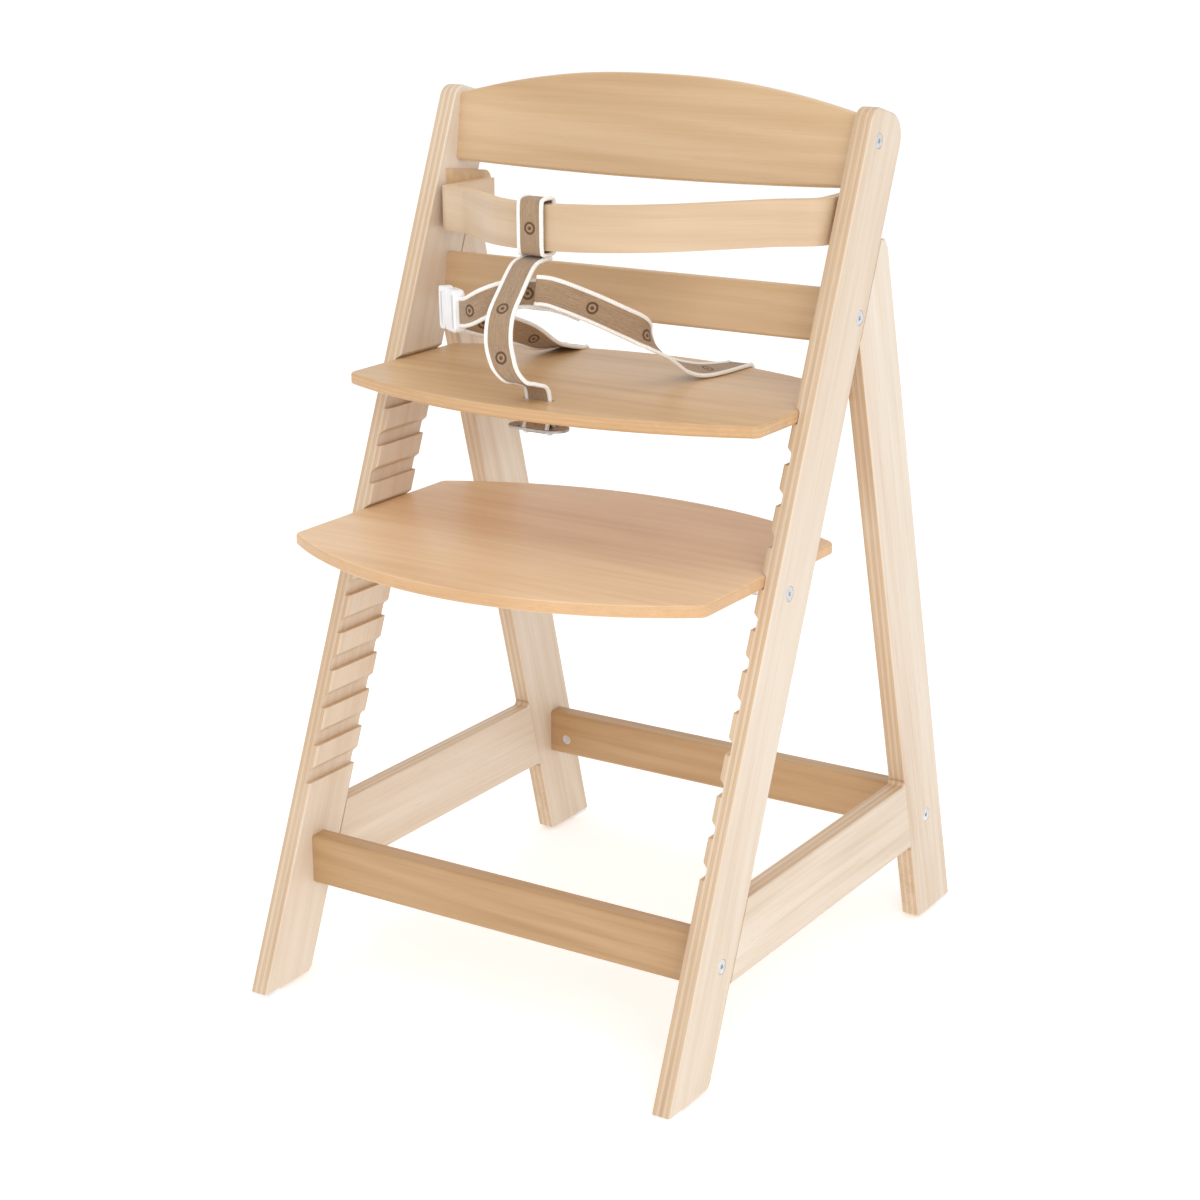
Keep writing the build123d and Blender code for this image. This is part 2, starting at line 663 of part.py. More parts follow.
# webbing wrapped over the seat's rear edge and held underneath
for name, x in (("left_belt_end", BELT_LEFT_X), ("right_belt_end", BELT_RIGHT_X)):
    edge_y = SEAT_REAR_SIDE + (SEAT_REAR_MID - SEAT_REAR_SIDE) * (1 - (x / BOARD_X) ** 2)
    with BuildPart() as belt_end:
        with Locations((x, (STAPLE_Y + edge_y + 2.5) / 2 - 3.0, SEAT_Z - 1.3)):
            Box(WEB_W, edge_y - STAPLE_Y + 17.0, WEB_T)
        with Locations((x, edge_y + 4.8, SEAT_Z + BOARD_T / 2)):
            Box(WEB_W, WEB_T, BOARD_T + 2.6 + WEB_T)
        with Locations((x, edge_y - 10.0, SEAT_Z + BOARD_T + 1.3)):
            Box(WEB_W, 31.0, WEB_T)
        with Locations((x, STAPLE_Y, SEAT_Z)):
            Cylinder(radius=2.0, height=8.0, mode=Mode.SUBTRACT)
    belt_end.part.label = name
    export_step(belt_end.part, "parts/" + name + ".step")

with BuildPart() as belt_screws:
    for x in (BELT_LEFT_X, BELT_RIGHT_X):
        with Locations((x, STAPLE_Y, SEAT_Z + 1.5)):
            Cylinder(radius=1.5, height=9.0)
        with Locations((x, STAPLE_Y, SEAT_Z - 3.4)):
            Cylinder(radius=7.0, height=1.6)
belt_screws.part.label = "belt_screws"
export_step(belt_screws.part, "parts/belt_screws.step")
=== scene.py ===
"""Looks of a wooden stair-type baby high chair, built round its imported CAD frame.

All lengths are in metres.
"""

import math

import bpy
from mathutils import Matrix, Vector


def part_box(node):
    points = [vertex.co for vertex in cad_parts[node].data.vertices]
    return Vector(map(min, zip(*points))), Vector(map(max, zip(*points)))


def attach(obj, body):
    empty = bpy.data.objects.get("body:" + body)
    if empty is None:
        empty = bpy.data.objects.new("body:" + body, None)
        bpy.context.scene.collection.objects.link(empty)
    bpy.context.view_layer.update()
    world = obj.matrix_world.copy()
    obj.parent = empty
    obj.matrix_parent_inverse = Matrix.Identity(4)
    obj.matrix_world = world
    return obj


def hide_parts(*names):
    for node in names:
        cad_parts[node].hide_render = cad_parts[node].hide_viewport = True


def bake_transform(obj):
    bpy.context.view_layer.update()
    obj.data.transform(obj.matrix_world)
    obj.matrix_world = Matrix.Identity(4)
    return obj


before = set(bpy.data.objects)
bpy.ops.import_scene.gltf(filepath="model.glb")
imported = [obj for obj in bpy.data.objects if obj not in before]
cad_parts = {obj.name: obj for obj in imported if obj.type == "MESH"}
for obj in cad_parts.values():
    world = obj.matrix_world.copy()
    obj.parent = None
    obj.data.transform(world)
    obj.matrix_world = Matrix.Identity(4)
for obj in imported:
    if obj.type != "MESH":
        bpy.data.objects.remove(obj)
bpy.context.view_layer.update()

# ---------------------------------------------------------------- sizes taken from the frame
SEAT_LOW, SEAT_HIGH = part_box("seat_board")
PLATE_LOW, PLATE_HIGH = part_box("strap_anchor_plate")
FOOT_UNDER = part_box("foot_board")[0].z
GUARD_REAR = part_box("guard_bar")[1].y
SIDE_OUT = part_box("right_post")[1].x
SEAT_TOP = SEAT_HIGH.z
SEAT_UNDER = SEAT_LOW.z
SIDE_IN = 0.207
SIDE_THICK = SIDE_OUT - SIDE_IN
BOARD_THICK = SEAT_TOP - SEAT_UNDER

# ---------------------------------------------------------------- driving dimensions
POST_LEAN = math.atan(0.415)
LEG_LEAN = math.atan(0.27)
LEG_FRONT_AT_FLOOR = 0.2044
SEAM_LOW = 0.08
SEAM_HIGH = 0.16
SLAT_LEAN = math.radians(8.5)
SLAT_THICK = 0.014
GUARD_PLAN_RADIUS = 0.17
PLY_LAYERS = 6

WEB_WIDTH = 0.0272
WEB_HALF_THICK = 0.0007
PIPING_RADIUS = 0.0019
MARK_RADIUS = 0.0056
WEB_STEP = 0.0016

CAMERA_PLACE = Vector((1.1460, -1.8144, 1.0040))
CAMERA_AZIMUTH = math.radians(32.621)
CAMERA_ELEVATION = math.radians(17.046)
CAMERA_ROLL = math.radians(-0.297)
CAMERA_LENS = 72.93
SENSOR = 36.0


# ---------------------------------------------------------------- node helpers
class Shade:
    """A material whose nodes are added one call at a time."""

    def __init__(self, name, roughness=0.5, metallic=0.0, specular=0.5, coat=0.0, coat_roughness=0.3):
        self.material = bpy.data.materials.new(name)
        self.material.use_nodes = True
        self.tree = self.material.node_tree
        self.shader = self.tree.nodes["Principled BSDF"]
        self.set(self.shader, "Roughness", roughness)
        self.set(self.shader, "Metallic", metallic)
        self.set(self.shader, "Specular IOR Level", specular)
        self.set(self.shader, "Coat Weight", coat)
        self.set(self.shader, "Coat Roughness", coat_roughness)

    def set(self, node, socket, value):
        if isinstance(value, bpy.types.NodeSocket):
            self.tree.links.new(value, node.inputs[socket])
        else:
            node.inputs[socket].default_value = value

    def add(self, kind, settings=None, **sockets):
        node = self.tree.nodes.new(kind)
        for key, value in (settings or {}).items():
            setattr(node, key, value)
        for key, value in sockets.items():
            self.set(node, key.replace("_", " "), value)
        return node

    def math(self, operation, a, b=0.0, c=0.0):
        node = self.add("ShaderNodeMath", {"operation": operation})
        for index, value in enumerate((a, b, c)):
            self.set(node, index, value)
        return node.outputs[0]

    def coordinates(self, kind="Object"):
        return self.add("ShaderNodeTexCoord").outputs[kind]

    def uv(self, name):
        return self.add("ShaderNodeUVMap", {"uv_map": name}).outputs["UV"]

    def split(self, vector):
        node = self.add("ShaderNodeSeparateXYZ", Vector=vector)
        return node.outputs

    def join(self, x, y, z):
        return self.add("ShaderNodeCombineXYZ", X=x, Y=y, Z=z).outputs[0]

    def place(self, vector, turn=(0, 0, 0), scale=(1, 1, 1), shift=(0, 0, 0)):
        node = self.add("ShaderNodeMapping", Vector=vector, Rotation=turn, Scale=scale, Location=shift)
        return node.outputs[0]

    def noise(self, vector, scale, detail=3.0, roughness=0.55, distortion=0.0):
        node = self.add("ShaderNodeTexNoise", Vector=vector, Scale=scale, Detail=detail)
        self.set(node, "Roughness", roughness)
        self.set(node, "Distortion", distortion)
        return node.outputs[0]

    def ramp(self, value, stops):
        node = self.add("ShaderNodeValToRGB", Fac=value)
        elements = node.color_ramp.elements
        while len(elements) < len(stops):
            elements.new(0.5)
        for element, (place, color) in zip(elements, stops):
            element.position = place
            element.color = (*color, 1.0)
        return node.outputs["Color"]

    def fade(self, value, low, high, out_low=0.0, out_high=1.0):
        node = self.add("ShaderNodeMapRange", {"interpolation_type": "SMOOTHSTEP"})
        for socket, number in zip(range(5), (value, low, high, out_low, out_high)):
            self.set(node, socket, number)
        return node.outputs[0]

    def mix(self, factor, a, b):
        node = self.add("ShaderNodeMix", {"data_type": "RGBA"})
        self.set(node, 0, factor)
        self.set(node, 6, a if isinstance(a, bpy.types.NodeSocket) else (*a, 1.0))
        self.set(node, 7, b if isinstance(b, bpy.types.NodeSocket) else (*b, 1.0))
        return node.outputs[2]

    def bump(self, height, distance, strength=1.0):
        node = self.add("ShaderNodeBump", Strength=strength, Distance=distance, Height=height)
        self.set(self.shader, "Normal", node.outputs[0])


def linear(red, green, blue):
    """Turns display values, from 11 to 255, into the scene's linear colour."""
    return tuple(((v / 255 + 0.055) / 1.055) ** 2.4 for v in (red, green, blue))


# ---------------------------------------------------------------- wood
def grain(shade, where, tones, streaks=1.0, clouds=1.0, figure=1.0):
    """Colour and height of planed wood, grain along Z of where. tones are dark, middle and light."""
    dark, middle, light = tones
    broad = shade.noise(shade.place(where, scale=(14, 14, 2.2)), 1.0, detail=2.0, distortion=0.6)
    fine = shade.noise(shade.place(where, scale=(420, 420, 7)), 1.0, detail=2.0, roughness=0.7)
    medium = shade.noise(shade.place(where, scale=(95, 95, 2.6)), 1.0, detail=3.0, distortion=0.4)
    waves = shade.add(
        "ShaderNodeTexWave",
        {"wave_type": "BANDS", "bands_direction": "DIAGONAL"},
        Vector=shade.place(where, scale=(1.0, 1.0, 0.06)),
        Scale=34.0,
        Distortion=7.5,
        Detail=2.0,
        Detail_Scale=1.3,
    ).outputs["Fac"]
    value = shade.math("MULTIPLY_ADD", shade.math("SUBTRACT", broad, 0.5), 1.3 * clouds, 0.5)
    value = shade.math("MULTIPLY_ADD", shade.math("SUBTRACT", medium, 0.5), 0.62 * streaks, value)
    value = shade.math("MULTIPLY_ADD", shade.math("SUBTRACT", fine, 0.5), 0.55 * streaks, value)
    value = shade.math("MULTIPLY_ADD", shade.math("SUBTRACT", waves, 0.5), 0.22 * figure, value)
    color = shade.ramp(value, ((0.08, dark), (0.5, middle), (0.92, light)))
    pores = shade.noise(shade.place(where, scale=(900, 900, 46), shift=(3, 5, 7)), 1.0, detail=1.0)
    flecks = shade.fade(pores, 0.66, 0.76)
    color = shade.mix(shade.math("MULTIPLY", flecks, 0.20 * streaks), color, tuple(0.55 * v for v in dark))
    height = shade.math("MULTIPLY_ADD", flecks, -0.7, shade.math("MULTIPLY", fine, 0.6))
    return color, height


def ply_lines(shade, depth, thick):
    """How much of a glue line, and which of two layer tones, lies at a depth from 0 to thick."""
    level = shade.math("MULTIPLY_ADD", depth, PLY_LAYERS / thick, 0.5)
    within = shade.math("FRACT", level)
    off_middle = shade.math("ABSOLUTE", shade.math("SUBTRACT", within, 0.5))
    line = shade.fade(off_middle, 0.40, 0.49)
    parity = shade.math("MODULO", shade.math("FLOOR", level), 2.0)
    return line, parity


def below_face(shade, depth, thick):
    """Distance from the nearer face of a layer stack, at a depth from 0 to thick."""
    off_middle = shade.math("ABSOLUTE", shade.math("SUBTRACT", depth, thick / 2))
    return shade.math("SUBTRACT", thick / 2, off_middle)


def finish_wood(shade, color, height, gloss):
    """Lacquered wood: its colour, a roughness that varies a little, and a shallow grain relief."""
    shade.set(shade.shader, "Base Color", color)
    smudge = shade.noise(shade.place(shade.coordinates(), scale=(9, 9, 9)), 1.0, detail=4.0)
    rough = shade.math("MULTIPLY_ADD", smudge, 0.16, gloss - 0.08)
    shade.set(shade.shader, "Roughness", shade.math("MULTIPLY_ADD", height, -0.05, rough))
    shade.bump(height, 0.00012, 0.35)
    return shade.material


# dark, middle and light tones of each wood
PALE = (linear(197, 168, 140), linear(219, 201, 180), linear(231, 220, 206))
PALE_END = (linear(176, 140, 103), linear(202, 172, 137), linear(221, 199, 169))
TAN = (linear(180, 142, 102), linear(202, 169, 129), linear(219, 191, 155))
SEAT_TAN = (linear(188, 148, 103), linear(210, 173, 128), linear(225, 194, 153))
# the footboard's tones are a lightened copy of the board wood: painted light standing in for light that
# the seat board's shadow keeps off it
FOOT_TAN_PAINTED_LIGHT = (linear(212, 169, 124), linear(233, 196, 153), linear(244, 214, 178))
GUARD_TAN = (linear(184, 150, 115), linear(207, 179, 146), linear(223, 199, 170))
GOLDEN = (linear(156, 116, 74), linear(181, 144, 102), linear(199, 166, 126))
CREAM = (linear(216, 186, 150), linear(232, 206, 174), linear(244, 226, 201))
BOARD_EDGE = (linear(186, 143, 98), linear(208, 167, 122), linear(224, 188, 146))
GLUE = linear(166, 122, 84)


def side_wood(name, lean, with_rail=False):
    """Laminated side members, with layers across X.

    The grain follows the lean, and with_rail it follows the side rail in front of the leg.
    """
    shade = Shade(name, specular=0.4, coat=0.12, coat_roughness=0.35)
    where = shade.coordinates()
    up = shade.place(where, turn=(lean, 0, 0))
    if with_rail:
        across = shade.split(where)
        rail = shade.join(across["X"], shade.math("ADD", across["Z"], 0.7), across["Y"])
        front = shade.math("MULTIPLY_ADD", across["Z"], math.tan(LEG_LEAN), across["Y"])
        on_leg = shade.math("GREATER_THAN", front, LEG_FRONT_AT_FLOOR)
        up = shade.mix(on_leg, rail, up)
    streaks = 0.75 if with_rail else 0.55
    color, height = grain(shade, up, PALE, streaks, clouds=0.8, figure=0.3)
    end_color = grain(shade, up, PALE_END, streaks=0.9, clouds=0.5, figure=0.1)[0]
    depth = shade.math("SUBTRACT", shade.math("ABSOLUTE", shade.split(where)["X"]), SIDE_IN)
    line, parity = ply_lines(shade, depth, SIDE_THICK)
    facing = shade.math("ABSOLUTE", shade.split(shade.coordinates("Normal"))["X"])
    inside = shade.fade(below_face(shade, depth, SIDE_THICK), 0.0007, 0.0014)
    cut = shade.math("MULTIPLY", inside, shade.fade(facing, 0.35, 0.9, 1.0, 0.12))
    layer = shade.math("MULTIPLY_ADD", parity, 0.50, 0.40)
    color = shade.mix(shade.math("MULTIPLY", cut, layer), color, end_color)
    color = shade.mix(shade.math("MULTIPLY", shade.math("MULTIPLY", line, cut), 0.32), color, GLUE)
    if with_rail:
        off_seam = shade.math("ABSOLUTE", shade.math("SUBTRACT", front, LEG_FRONT_AT_FLOOR))
        seam = shade.fade(off_seam, 0.0, 0.0007, 0.5, 0.0)
        under_top = shade.math("LESS_THAN", shade.split(where)["Z"], SEAM_HIGH)
        over_foot = shade.math("GREATER_THAN", shade.split(where)["Z"], SEAM_LOW)
        seam = shade.math("MULTIPLY", seam, shade.math("MULTIPLY", under_top, over_foot))
        color = shade.mix(seam, color, GLUE)
    return finish_wood(shade, color, height, 0.46)


def panel_wood(name, tones, turn, depth_axis, depth_start, thick, shift, edge_tones=CREAM):
    """Veneered plywood: face veneer with its grain along X, and layers where the edge cuts them."""
    shade = Shade(name, specular=0.42, coat=0.18, coat_roughness=0.3)
    where = shade.coordinates()
    turned = shade.place(where, turn=turn)
    sides = shade.split(turned)
    along = shade.join(
        shade.math("ADD", sides["Z"], shift),
        shade.math("ADD", sides["Y"], shift),
        sides["X"],
    )
    color, height = grain(shade, along, tones, streaks=0.5, clouds=0.8, figure=0.45)
    core = grain(shade, along, edge_tones, streaks=0.8, clouds=0.4, figure=0.0)[0]
    depth = shade.math("SUBTRACT", sides[depth_axis], depth_start)
    line, parity = ply_lines(shade, depth, thick)
    inside = shade.fade(below_face(shade, depth, thick), 0.0006, 0.0011)
    core = shade.mix(shade.math("MULTIPLY", parity, 0.40), core, tones[0])
    core = shade.mix(shade.math("MULTIPLY", line, 0.35), core, GLUE)
    color = shade.mix(shade.math("MULTIPLY", inside, 0.85), color, core)
    return finish_wood(shade, color, height, 0.40)


def bent_wood(name):
    """Moulded plywood whose grain follows a bend in plan, with cream layers on its narrow edges."""
    shade = Shade(name, specular=0.42, coat=0.4, coat_roughness=0.3)
    where = shade.coordinates()
    parts = shade.split(where)
    behind = shade.math("SUBTRACT", GUARD_REAR, parts["Y"])
    turn = shade.math("ARCTAN2", parts["X"], behind)
    along = shade.join(parts["Z"], 0.0, shade.math("MULTIPLY", turn, GUARD_PLAN_RADIUS))
    color, height = grain(shade, along, GUARD_TAN, streaks=0.5, clouds=0.8, figure=0.3)
    core = grain(shade, along, CREAM, streaks=0.8, clouds=0.4, figure=0.0)[0]
    upright = shade.math("ABSOLUTE", shade.split(shade.coordinates("Normal"))["Z"])
    color = shade.mix(shade.fade(upright, 0.55, 0.9, 0.0, 0.85), color, core)
    return finish_wood(shade, color, height, 0.40)


def solid_wood(name, tones):
    """Solid cross rail with its grain along X."""
    shade = Shade(name, specular=0.42, coat=0.18, coat_roughness=0.3)
    sides = shade.split(shade.coordinates())
    along = shade.join(sides["Z"], sides["Y"], sides["X"])
    color, height = grain(shade, along, tones, streaks=0.6, clouds=0.8, figure=0.6)
    return finish_wood(shade, color, height, 0.42)


# ---------------------------------------------------------------- metal and plastic
def zinc(name, tone, rough):
    """Zinc plated steel with faint spangle and fine turning marks."""
    shade = Shade(name, metallic=1.0, specular=0.5)
    where = shade.coordinates()
    spangle = shade.noise(shade.place(where, scale=(260, 260, 260)), 1.0, detail=2.0)
    marks = shade.noise(shade.place(where, scale=(60, 1400, 1400)), 1.0, detail=2.0)
    color = shade.ramp(spangle, ((0.3, tuple(0.72 * v for v in tone)), (0.7, tone)))
    shade.set(shade.shader, "Base Color", color)
    shade.set(shade.shader, "Roughness", shade.math("MULTIPLY_ADD", marks, 0.22, rough - 0.11))
    shade.bump(marks, 0.00005, 0.4)
    return shade.material


def moulded(name, light, shadow, rough):
    """Moulded white plastic with a fine spark-eroded texture and slight yellowing in broad patches."""
    shade = Shade(name, specular=0.5)
    where = shade.coordinates()
    shade.set(shade.shader, "Subsurface Weight", 0.08)
    shade.set(shade.shader, "Subsurface Scale", 0.004)
    broad = shade.noise(shade.place(where, scale=(40, 40, 40)), 1.0, detail=2.0)
    texture = shade.noise(shade.place(where, scale=(2600, 2600, 2600)), 1.0, detail=1.0)
    shade.set(shade.shader, "Base Color", shade.ramp(broad, ((0.3, shadow), (0.7, light))))
    shade.set(shade.shader, "Roughness", shade.math("MULTIPLY_ADD", texture, 0.12, rough - 0.06))
    shade.bump(texture, 0.00004, 0.5)
    return shade.material


# ---------------------------------------------------------------- webbing
TAUPE = (linear(135, 108, 82), linear(166, 138, 110), linear(190, 166, 138))
PRINT_INK = linear(84, 54, 34)
WEAVE_PITCH = 0.0011
TWIST_PITCH = 0.0016


def weave_height(shade, place, pitch):
    """Height of a plain weave: threads along and across, each over one and under the next."""
    across = shade.math("SINE", shade.math("MULTIPLY", place["X"], 2 * math.pi / pitch))
    along = shade.math("SINE", shade.math("MULTIPLY", place["Y"], 2 * math.pi / pitch))
    return shade.math("MULTIPLY", across, along)


def taupe_webbing(name):
    """Taupe webbing with a small brown ring-and-dot mark printed at intervals."""
    shade = Shade(name, roughness=0.9, specular=0.2)
    shade.set(shade.shader, "Sheen Weight", 0.25)
    shade.set(shade.shader, "Sheen Roughness", 0.5)
    place = shade.split(shade.uv("along"))
    weave = weave_height(shade, place, WEAVE_PITCH)
    yarn = shade.noise(shade.place(shade.uv("along"), scale=(260, 1500, 1)), 1.0, detail=2.0)
    ribs = shade.noise(shade.place(shade.uv("along"), scale=(40, 900, 1)), 1.0, detail=2.0)
    # the weave height also darkens the colour where threads dip under: painted shade in the weave's
    # hollows, over random yarn and rib tones
    value = shade.math("MULTIPLY_ADD", weave, 0.10, shade.math("MULTIPLY_ADD", yarn, 0.5, 0.25))
    value = shade.math("MULTIPLY_ADD", shade.math("SUBTRACT", ribs, 0.5), 0.5, value)
    color = shade.ramp(value, tuple(zip((0.25, 0.5, 0.8), TAUPE)))
    mark = shade.split(shade.uv("mark"))
    squares = [shade.math("POWER", mark[axis], 2.0) for axis in ("X", "Y")]
    distance = shade.math("SQRT", shade.math("ADD", *squares))
    wobble = shade.noise(shade.place(shade.uv("mark"), scale=(700, 700, 1)), 1.0, detail=1.0)
    distance = shade.math("MULTIPLY_ADD", shade.math("SUBTRACT", wobble, 0.5), 0.0008, distance)
    off_ring = shade.math("ABSOLUTE", shade.math("SUBTRACT", distance, MARK_RADIUS * 0.82))
    ring = shade.fade(off_ring, MARK_RADIUS * 0.14, MARK_RADIUS * 0.24, 1.0, 0.0)
    dot = shade.fade(distance, MARK_RADIUS * 0.26, MARK_RADIUS * 0.38, 1.0, 0.0)
    ink = shade.math("MAXIMUM", ring, dot)
    color = shade.mix(shade.math("MULTIPLY", ink, 0.85), color, PRINT_INK)
    shade.set(shade.shader, "Base Color", color)
    shade.bump(shade.math("MULTIPLY_ADD", yarn, 0.5, weave), 0.00012, 0.8)
    return shade.material


def white_piping(name):
    """White corded piping with a twisted thread relief, its colour darkened in the twist's hollows as
    painted shade and varied by random fuzz.
    """
    shade = Shade(name, roughness=0.82, specular=0.25)
    shade.set(shade.shader, "Sheen Weight", 0.2)
    place = shade.split(shade.uv("along"))
    turns = shade.math("MULTIPLY", place["X"], 2 * math.pi / TWIST_PITCH)
    relief = shade.math("SINE", shade.math("MULTIPLY_ADD", place["Y"], 900.0, turns))
    fuzz = shade.noise(shade.place(shade.coordinates(), scale=(900, 900, 900)), 1.0, detail=2.0)
    # the twist relief also darkens the colour in its hollows: painted shade, mixed with random fuzz
    value = shade.math("MULTIPLY_ADD", relief, 0.12, fuzz)
    color = shade.ramp(value, ((0.2, linear(222, 216, 206)), (0.6, linear(250, 248, 244))))
    shade.set(shade.shader, "Base Color", color)
    shade.bump(value, 0.00010, 0.4)
    return shade.material


def stitch_thread(name):
    """Light sewing thread with a fine twist."""
    shade = Shade(name, roughness=0.7, specular=0.3)
    twist = shade.noise(shade.place(shade.coordinates(), scale=(2400, 2400, 2400)), 1.0, detail=1.0)
    color = shade.ramp(twist, ((0.3, linear(214, 200, 180)), (0.7, linear(240, 232, 220))))
    shade.set(shade.shader, "Base Color", color)
    shade.bump(twist, 0.00005, 0.6)
    return shade.material


# ---------------------------------------------------------------- mesh helpers
def new_object(name, vertices, faces, materials, smooth=True):
    """A linked mesh object."""
    mesh = bpy.data.meshes.new(name)
    mesh.from_pydata(vertices, [], faces)
    for material in materials:
        mesh.materials.append(material)
    mesh.update()
    if smooth:
        mesh.polygons.foreach_set("use_smooth", [True] * len(mesh.polygons))
    made = bpy.data.objects.new(name, mesh)
    bpy.context.collection.objects.link(made)
    return made


def between(a, b, c, d, t):
    """Catmull-Rom value between b and c."""
    first = (2 * b) + (c - a) * t
    second = (2 * a - 5 * b + 4 * c - d) * t * t
    third = (3 * b - a - 3 * c + d) * t * t * t
    return (first + second + third) * 0.5


def smooth_line(stations, closed=False):
    """Even, dense (place, across) pairs through given stations."""
    places = [Vector(place) for place, across in stations]
    acrosses = [Vector(across).normalized() for place, across in stations]
    count = len(stations)
    spans = count if closed else count - 1
    line = []
    for index in range(spans):
        if closed:
            around = [(index + k) % count for k in (-1, 0, 1, 2)]
        else:
            around = [min(max(index + k, 0), count - 1) for k in (-1, 0, 1, 2)]
        gap = (places[around[2]] - places[around[1]]).length
        steps = max(2, round(gap / WEB_STEP))
        for step in range(steps):
            t = step / steps
            place = between(*(places[k] for k in around), t)
            across = between(*(acrosses[k] for k in around), t)
            line.append((place, across.normalized()))
    if not closed:
        line.append((places[-1], acrosses[-1]))
    return line


def frames_along(line, closed=False):
    """Place, across and normal directions, and the distance from the start, at each point of a line."""
    frames = []
    travelled = 0.0
    for index, (place, across) in enumerate(line):
        if closed:
            before = line[index - 1][0]
            after = line[(index + 1) % len(line)][0]
        else:
            before = line[max(index - 1, 0)][0]
            after = line[min(index + 1, len(line) - 1)][0]
        tangent = (after - before).normalized()
        across = (across - tangent * across.dot(tangent)).normalized()
        normal = across.cross(tangent).normalized()
        if index:
            travelled += (place - line[index - 1][0]).length
        frames.append((place, across, normal, travelled))
    return frames


def slab_outline(half_width, half_thick):
    """Flat rounded section: (across, normal) points, anticlockwise."""
    columns = 8
    top = []
    for index in range(columns + 1):
        u = -1 + 2 * index / columns
        top.append((half_width * u, half_thick * (1.0 - 0.25 * u ** 8)))
    return top[::-1] + [(a, -n) for a, n in top]


def round_outline(middle, radius, sides=10):
    """Circular section: (across, normal) points, anticlockwise."""
    turns = [2 * math.pi * k / sides for k in range(sides)]
    return [(middle + radius * math.cos(turn), radius * math.sin(turn)) for turn in turns]


def webbing(name, stations, marks, closed=False):
    """A flat strap with piped edges along stations. marks are where prints lie, from the start."""
    frames = frames_along(smooth_line(stations, closed), closed)
    half = WEB_WIDTH / 2
    sections = [
        (slab_outline(half - PIPING_RADIUS, WEB_HALF_THICK), 0),
        (round_outline(half - PIPING_RADIUS, PIPING_RADIUS), 1),
        (round_outline(-half + PIPING_RADIUS, PIPING_RADIUS), 1),
    ]
    vertices, faces, slots, corners = [], [], [], []
    for outline, slot in sections:
        start, size = len(vertices), len(outline)
        for place, across, normal, travelled in frames:
            vertices.extend(place + across * a + normal * n for a, n in outline)
        rings = len(frames)
        for ring in range(rings if closed else rings - 1):
            after = (ring + 1) % rings
            here_u = frames[ring][3]
            next_u = frames[after][3] if after else here_u + WEB_STEP
            here, there = start + ring * size, start + after * size
            for k in range(size):
                k2 = (k + 1) % size
                near, far = outline[k][0], outline[k2][0]
                faces.append([here + k, here + k2, there + k2, there + k])
                slots.append(slot)
                corners.append([(here_u, near), (here_u, far), (next_u, far), (next_u, near)])
        if not closed:
            for ring, order in ((0, -1), (rings - 1, 1)):
                cap = [start + ring * size + k for k in range(size)][::order]
                faces.append(cap)
                slots.append(slot)
                corners.append([(frames[ring][3], outline[k][0]) for k in range(size)][::order])
    made = new_object(name, vertices, faces, [WEBBING, PIPING])
    mesh = made.data
    mesh.polygons.foreach_set("material_index", slots)
    along = mesh.uv_layers.new(name="along")
    mark = mesh.uv_layers.new(name="mark")
    for polygon, places in zip(mesh.polygons, corners):
        middle = sum(u for u, v in places) / len(places)
        nearest = min(marks, key=lambda m: abs(m - middle))
        for loop, (u, v) in zip(polygon.loop_indices, places):
            along.data[loop].uv = (u, v)
            mark.data[loop].uv = (u - nearest, v)
    return made


def stitches(name, start, end, normal, count, radius=0.00035):
    """A row of sewing stitches from start to end, each a short thread that dips at its ends."""
    start, end, normal = Vector(start), Vector(end), Vector(normal).normalized()
    step = (end - start) / count
    side = normal.cross(step).normalized()
    vertices, faces = [], []
    rings, sides = 7, 8
    for index in range(count):
        first = len(vertices)
        for ring in range(rings):
            t = ring / (rings - 1)
            swell = math.sin(math.pi * min(max(t, 0.06), 0.94)) ** 0.5
            middle = start + step * (index + 0.12 + 0.76 * t) + normal * radius * (swell - 0.6)
            for k in range(sides):
                turn = 2 * math.pi * k / sides
                out = side * math.cos(turn) + normal * math.sin(turn)
                vertices.append(middle + out * radius * swell)
        for ring in range(rings - 1):
            for k in range(sides):
                a = first + ring * sides + k
                b = first + ring * sides + (k + 1) % sides
                faces.append([a, b, b + sides, a + sides])
        faces.append([first + k for k in range(sides)][::-1])
        faces.append([first + (rings - 1) * sides + k for k in range(sides)])
    made = new_object(name, vertices, faces, [THREAD])
    return made


# ---------------------------------------------------------------- materials of the CAD nodes
def dress(material, *nodes):
    """Gives CAD nodes a material in every slot they have."""
    for name in nodes:
        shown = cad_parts[name]
        for slot in shown.material_slots:
            slot.material = material


def slat_depth(node):
    """Where a leaning slat's thickness starts, along its own normal."""
    low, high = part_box(node)
    middle = (low + high) / 2
    return middle.y * math.cos(SLAT_LEAN) - middle.z * math.sin(SLAT_LEAN) - SLAT_THICK / 2


